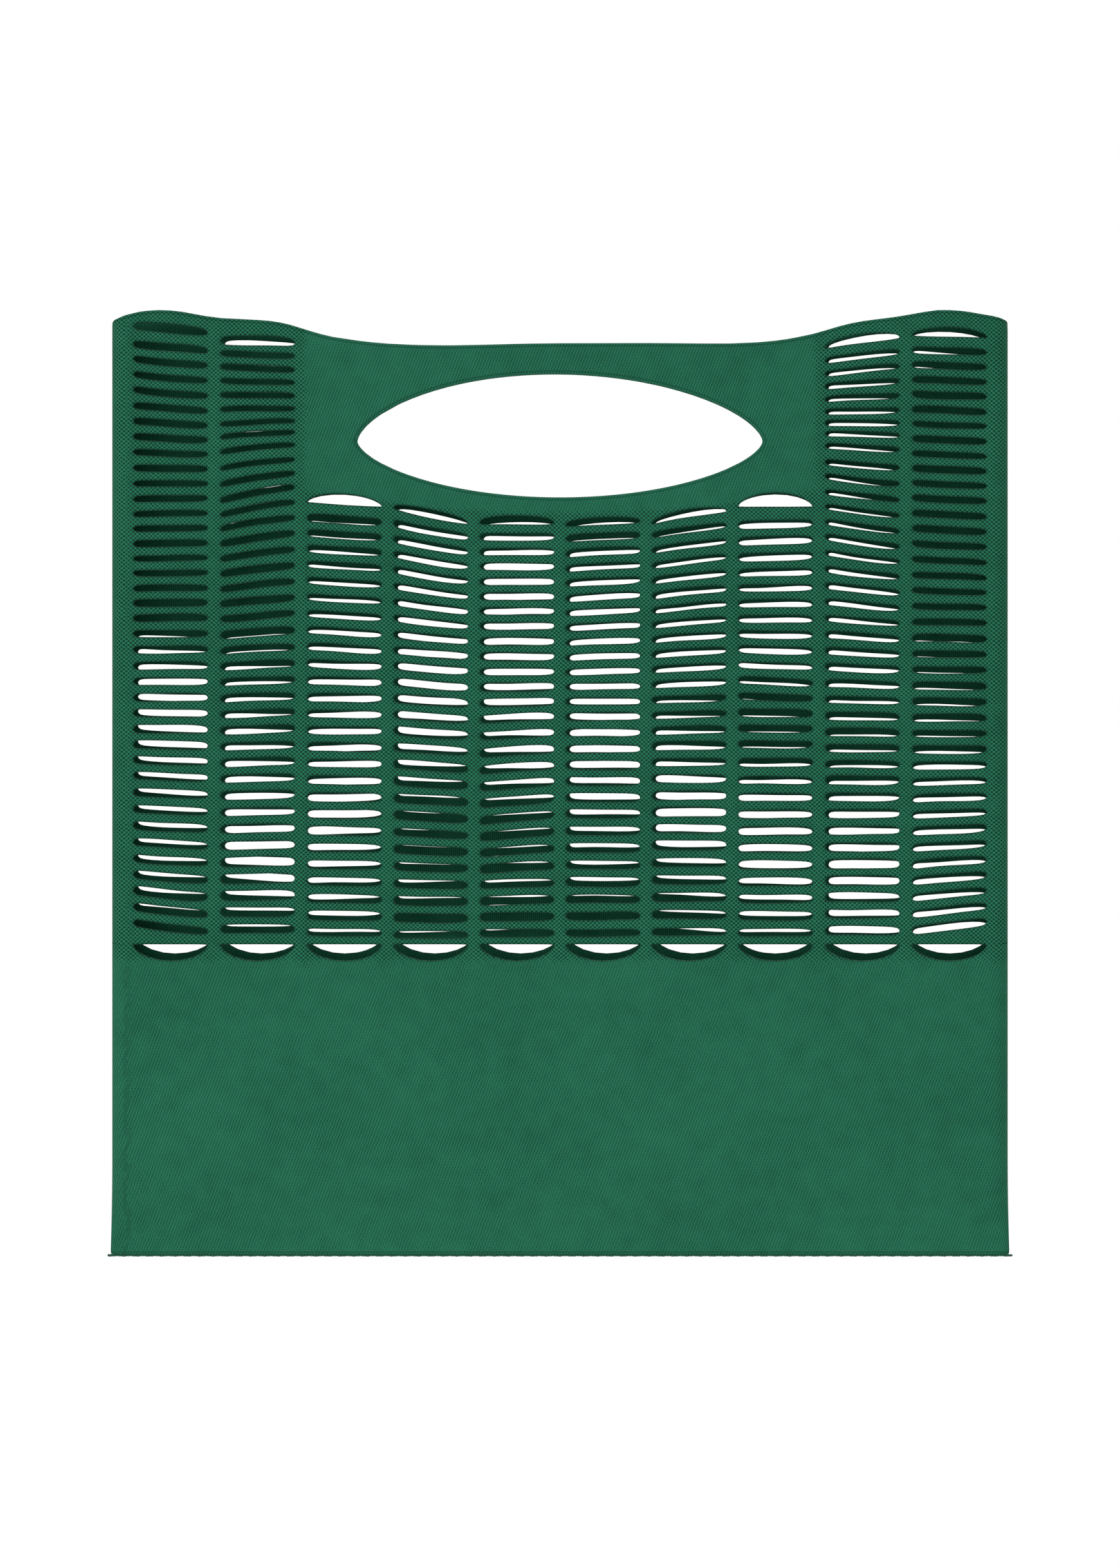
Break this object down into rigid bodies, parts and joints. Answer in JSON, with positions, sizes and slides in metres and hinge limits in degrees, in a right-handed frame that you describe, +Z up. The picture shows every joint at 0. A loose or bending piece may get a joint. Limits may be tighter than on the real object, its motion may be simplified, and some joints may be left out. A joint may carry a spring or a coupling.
{
  "type": "tote bag",
  "caption": "Flat knitted tote bag with two soft handle bands over an eye-shaped hand opening, a slit net in its upper part and a plain pouch below.",
  "frame": {"origin": "midway between the two shoulder peaks, the bag's highest points, from which it hangs", "axes": "+Z up along the bag's height, the front layer faces -Y, +X to the right seen from the front"},
  "size_m": [0.406, 0.0136, 0.4235],
  "materials": {
    "plain_knit": "matte fine rib-and-purl cotton knit, bottle green",
    "net_knit": "matte cotton knit with rolled slit edges, bottle green",
    "seam_thread": "matte linking chain of the same green yarn"
  },
  "bodies": {
    "bag": {"front_yoke": "plain_knit", "front_pouch": "plain_knit", "back_yoke": "plain_knit", "back_pouch": "plain_knit", "front_left_net": "net_knit", "front_centre_net": "net_knit", "front_right_net": "net_knit", "back_left_net": "net_knit", "back_centre_net": "net_knit", "back_right_net": "net_knit", "left_side_fold": "plain_knit", "right_side_fold": "plain_knit", "bottom_seam_thread": "seam_thread"},
    "front_handle": {"front_handle": "plain_knit"},
    "back_handle": {"back_handle": "plain_knit"}
  },
  "joints": [
    {"name": "front_handle_fold", "type": "hinge", "parent": "bag", "child": "front_handle", "pos_m": [0, -0.0059, -0.0585], "axis": [1, 0, 0], "range_deg": [-5, 90], "stiffness_Nm_per_rad": 0.01},
    {"name": "back_handle_fold", "type": "hinge", "parent": "bag", "child": "back_handle", "pos_m": [0, 0.0059, -0.0585], "axis": [-1, 0, 0], "range_deg": [-5, 90], "stiffness_Nm_per_rad": 0.01}
  ]
}
